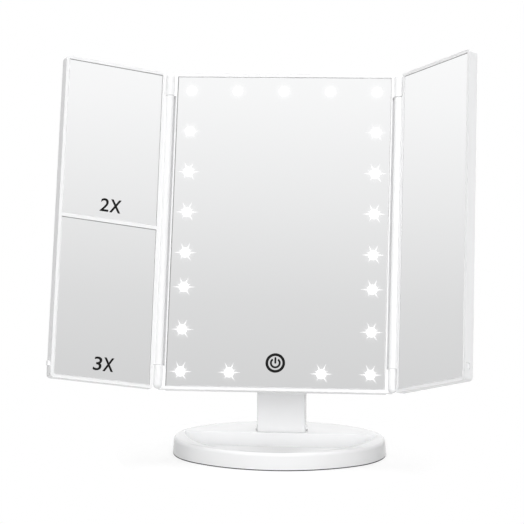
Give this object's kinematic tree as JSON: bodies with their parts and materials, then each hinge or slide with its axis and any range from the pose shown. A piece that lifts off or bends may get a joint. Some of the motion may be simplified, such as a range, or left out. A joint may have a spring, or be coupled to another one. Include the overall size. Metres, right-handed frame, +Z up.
{
  "type": "trifold vanity mirror",
  "caption": "Free-standing lighted vanity mirror: tilting centre glass with a touch light, folding wings, one with magnifying panes, and a neck that plugs into an oval tray base.",
  "frame": {"origin": "centre of the base's underside, on the table", "axes": "+Z up, -Y towards the user, +X to the right of someone who faces the mirror"},
  "size_m": [0.3112, 0.1659, 0.3099],
  "materials": {
    "shell": "gloss",
    "mirror": "polished",
    "foam": "matte",
    "board": "satin",
    "chip": "satin",
    "steel": "satin",
    "nickel": "satin",
    "cell": "satin",
    "rubber": "matte",
    "black": "satin"
  },
  "bodies": {
    "stand": {"base_tray": "shell", "base_bottom_cover": "shell", "base_weight": "steel", "non_slip_pad": "rubber", "base_screws": "steel", "neck_rear_shell": "shell", "neck_front_shell": "shell", "neck_screws": "steel"},
    "release_left": {"release_tab_left": "shell"},
    "release_right": {"release_tab_right": "shell"},
    "mirror_unit": {"centre_frame": "shell", "centre_mirror": "mirror", "centre_tape": "foam", "light_board_left": "board", "light_board_right": "board", "light_board_top": "board", "light_board_bottom": "board", "light_chips": "chip", "touch_disc": "nickel", "touch_board": "board", "rear_housing": "shell", "housing_screws": "steel", "battery_cells": "cell", "battery_contacts": "nickel", "contact_springs": "steel", "control_board": "board", "board_screws": "steel", "usb_socket": "steel", "switch_body": "black", "tilt_bolt": "steel", "tilt_nut": "steel", "friction_washers": "steel", "hinge_caps": "shell", "hinge_pins_left": "steel", "hinge_pins_right": "steel"},
    "battery_door": {"battery_cover": "shell"},
    "switch_slider": {"switch_knob": "black"},
    "left_wing": {"left_wing_frame": "shell", "left_wing_back": "shell", "mirror_2x": "mirror", "mirror_3x": "mirror", "left_wing_tape": "foam"},
    "right_wing": {"right_wing_frame": "shell", "right_wing_back": "shell", "right_mirror": "mirror", "right_wing_tape": "foam"}
  },
  "joints": [
    {"name": "mirror_tilt", "type": "hinge", "parent": "stand", "child": "mirror_unit", "pos_m": [0, 0.0228, 0.1427], "axis": [-1, 0, 0], "range_deg": [-20, 69]},
    {"name": "left_wing_hinge", "type": "hinge", "parent": "mirror_unit", "child": "left_wing", "pos_m": [-0.0875, -0.00068, 0.17204], "axis": [0, 0.3518, 0.9361], "range_deg": [-33, 147]},
    {"name": "right_wing_hinge", "type": "hinge", "parent": "mirror_unit", "child": "right_wing", "pos_m": [0.0875, -0.00068, 0.17204], "axis": [0, -0.3518, -0.9361], "range_deg": [-52, 128]},
    {"name": "battery_cover_slide", "type": "slide", "parent": "mirror_unit", "child": "battery_door", "axis": [0, 0.3518, 0.9361], "range_m": [0, 0.05]},
    {"name": "power_switch_slide", "type": "slide", "parent": "mirror_unit", "child": "switch_slider", "axis": [1, 0, 0], "range_m": [0, 0.0026]},
    {"name": "release_left_press", "type": "slide", "parent": "stand", "child": "release_left", "axis": [1, 0, 0], "range_m": [0, 0.0012], "stiffness_N_per_m": 600},
    {"name": "release_right_press", "type": "slide", "parent": "stand", "child": "release_right", "axis": [-1, 0, 0], "range_m": [0, 0.0012], "stiffness_N_per_m": 600}
  ]
}
